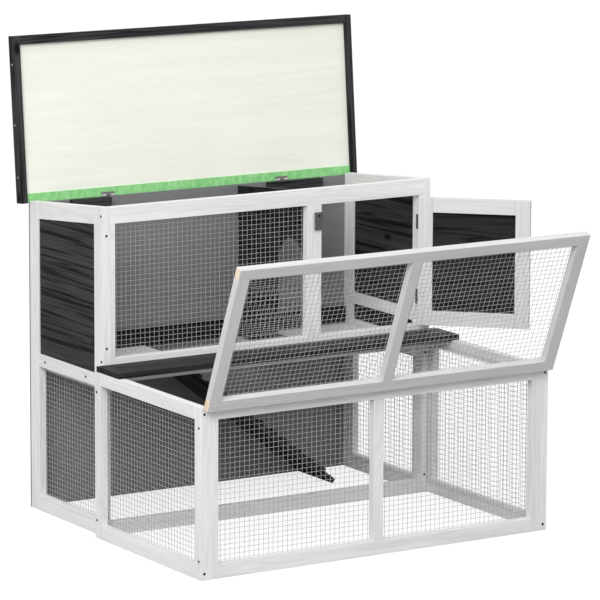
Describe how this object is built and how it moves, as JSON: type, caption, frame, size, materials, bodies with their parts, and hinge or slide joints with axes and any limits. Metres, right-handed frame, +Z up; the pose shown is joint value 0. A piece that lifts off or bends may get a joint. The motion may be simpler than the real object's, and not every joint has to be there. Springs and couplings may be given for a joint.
{
  "type": "rabbit hutch",
  "caption": "Two-storey wooden rabbit hutch: closed cabin upstairs with a ramp down to a low wire-mesh run; hinged roof, run lid and cabin door.",
  "frame": {"origin": "on the ground, at the centre of the underside of the cross rail between the run and the rear module", "axes": "+Z up, +Y towards the back of the hutch, +X to the right seen from the front"},
  "size_m": [1.1734, 1.131, 1.219],
  "materials": {
    "white_wood": "satin white paint",
    "black_wood": "satin black paint",
    "back_sheet": "dark grey stained sheet",
    "roof_panel": "off-white paint",
    "roof_felt": "mineral granules",
    "wire": "galvanised",
    "hinge_steel": "satin",
    "screw": "zinc plated"
  },
  "bodies": {
    "roof": {"roof_arm_left": "black_wood", "roof_arm_right": "black_wood", "roof_arm_front": "black_wood", "roof_panel": "roof_panel", "roof_felt": "roof_felt", "roof_screws": "screw", "roof_hinge_leaves": "hinge_steel"},
    "run_lid": {"run_lid_rails": "white_wood", "run_lid_stiles": "white_wood", "run_lid_mesh": "wire", "run_lid_hinge_leaves": "hinge_steel"},
    "door": {"door_stiles": "white_wood", "door_rails": "white_wood", "door_panel": "black_wood", "door_hinge_leaves": "hinge_steel"},
    "button": {"turn_button": "hinge_steel"},
    "ramp": {"ramp_board": "black_wood", "ramp_treads": "black_wood", "ramp_hinge_leaves": "hinge_steel"},
    "hutch": {"front_stile_left": "white_wood", "front_stile_right": "white_wood", "rear_stile_left": "white_wood", "rear_stile_right": "white_wood", "side_rails_left": "white_wood", "side_rails_right": "white_wood", "wall_battens": "white_wood", "cabin_front_rails": "white_wood", "cabin_jambs": "white_wood", "cabin_mid_post": "white_wood", "floor_boards": "white_wood", "floor_bearers": "white_wood", "run_side_stiles_left": "white_wood", "run_side_stiles_right": "white_wood", "run_side_rails_left": "white_wood", "run_side_rails_right": "white_wood", "run_front_stiles": "white_wood", "run_front_rails": "white_wood", "ground_rail": "white_wood", "side_boards_left": "black_wood", "side_boards_right": "black_wood", "skirting_board": "black_wood", "hinge_blocks": "black_wood", "divider_board": "black_wood", "divider_rail": "black_wood", "ledge_board": "black_wood", "back_sheet": "back_sheet", "side_mesh_left": "wire", "side_mesh_right": "wire", "window_mesh": "wire", "run_side_mesh_left": "wire", "run_side_mesh_right": "wire", "run_front_mesh": "wire", "roof_hinge_plates": "hinge_steel", "run_lid_hinge_plates": "hinge_steel", "door_hinge_plates": "hinge_steel", "ramp_hinge_plates": "hinge_steel", "hinge_pins": "hinge_steel", "frame_screws": "screw", "button_screw": "screw"}
  },
  "joints": [
    {"name": "roof_hinge", "type": "hinge", "parent": "hutch", "child": "roof", "pos_m": [0, 0.3776, 0.79728], "axis": [-1, 0, 0], "range_deg": [-89.8, 0]},
    {"name": "run_lid_hinge", "type": "hinge", "parent": "hutch", "child": "run_lid", "pos_m": [0, -0.5206, 0.423], "axis": [1, 0, 0], "range_deg": [-112.4, 0]},
    {"name": "door_hinge", "type": "hinge", "parent": "hutch", "child": "door", "pos_m": [0.4499, -0.0126, 0.6235], "axis": [0, 0, 1], "range_deg": [-137, 43]},
    {"name": "button_pivot", "type": "hinge", "parent": "hutch", "child": "button", "pos_m": [0.1425, -0.0145, 0.764], "axis": [0, 1, 0], "range_deg": [-90, 0]},
    {"name": "ramp_hinge", "type": "hinge", "parent": "hutch", "child": "ramp", "pos_m": [-0.1549, 0.2805, 0.3824], "axis": [0, -1, 0], "range_deg": [0, 28]}
  ]
}
